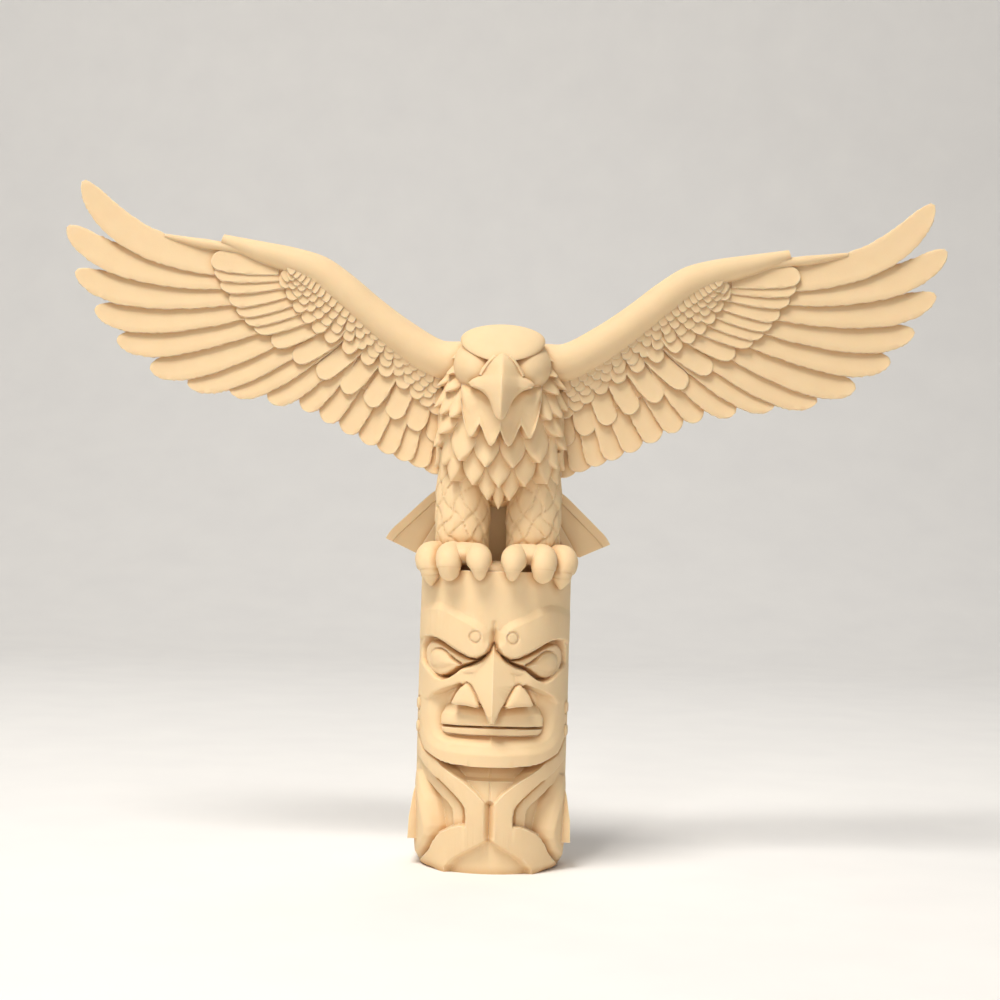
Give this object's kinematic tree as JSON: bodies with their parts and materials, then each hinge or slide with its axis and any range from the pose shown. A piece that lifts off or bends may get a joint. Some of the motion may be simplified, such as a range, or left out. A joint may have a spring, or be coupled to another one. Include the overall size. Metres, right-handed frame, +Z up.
{
  "type": "totem pole",
  "caption": "Miniature totem pole carved as one piece: an eagle with raised, spread wings on a round pole that bears a square-jawed face above a crossed-limb body.",
  "frame": {"origin": "centre of the pole's flat foot, where it stands", "axes": "+Z up along the pole, -Y towards the front that the eagle and the face look to, +X to the viewer's right along the wingspan"},
  "size_m": [0.1294, 0.0249, 0.0978],
  "materials": {
    "cream_resin": "matte, with fine cutter lines"
  },
  "bodies": {
    "root": {"totem_pole": "cream_resin"}
  },
  "joints": []
}
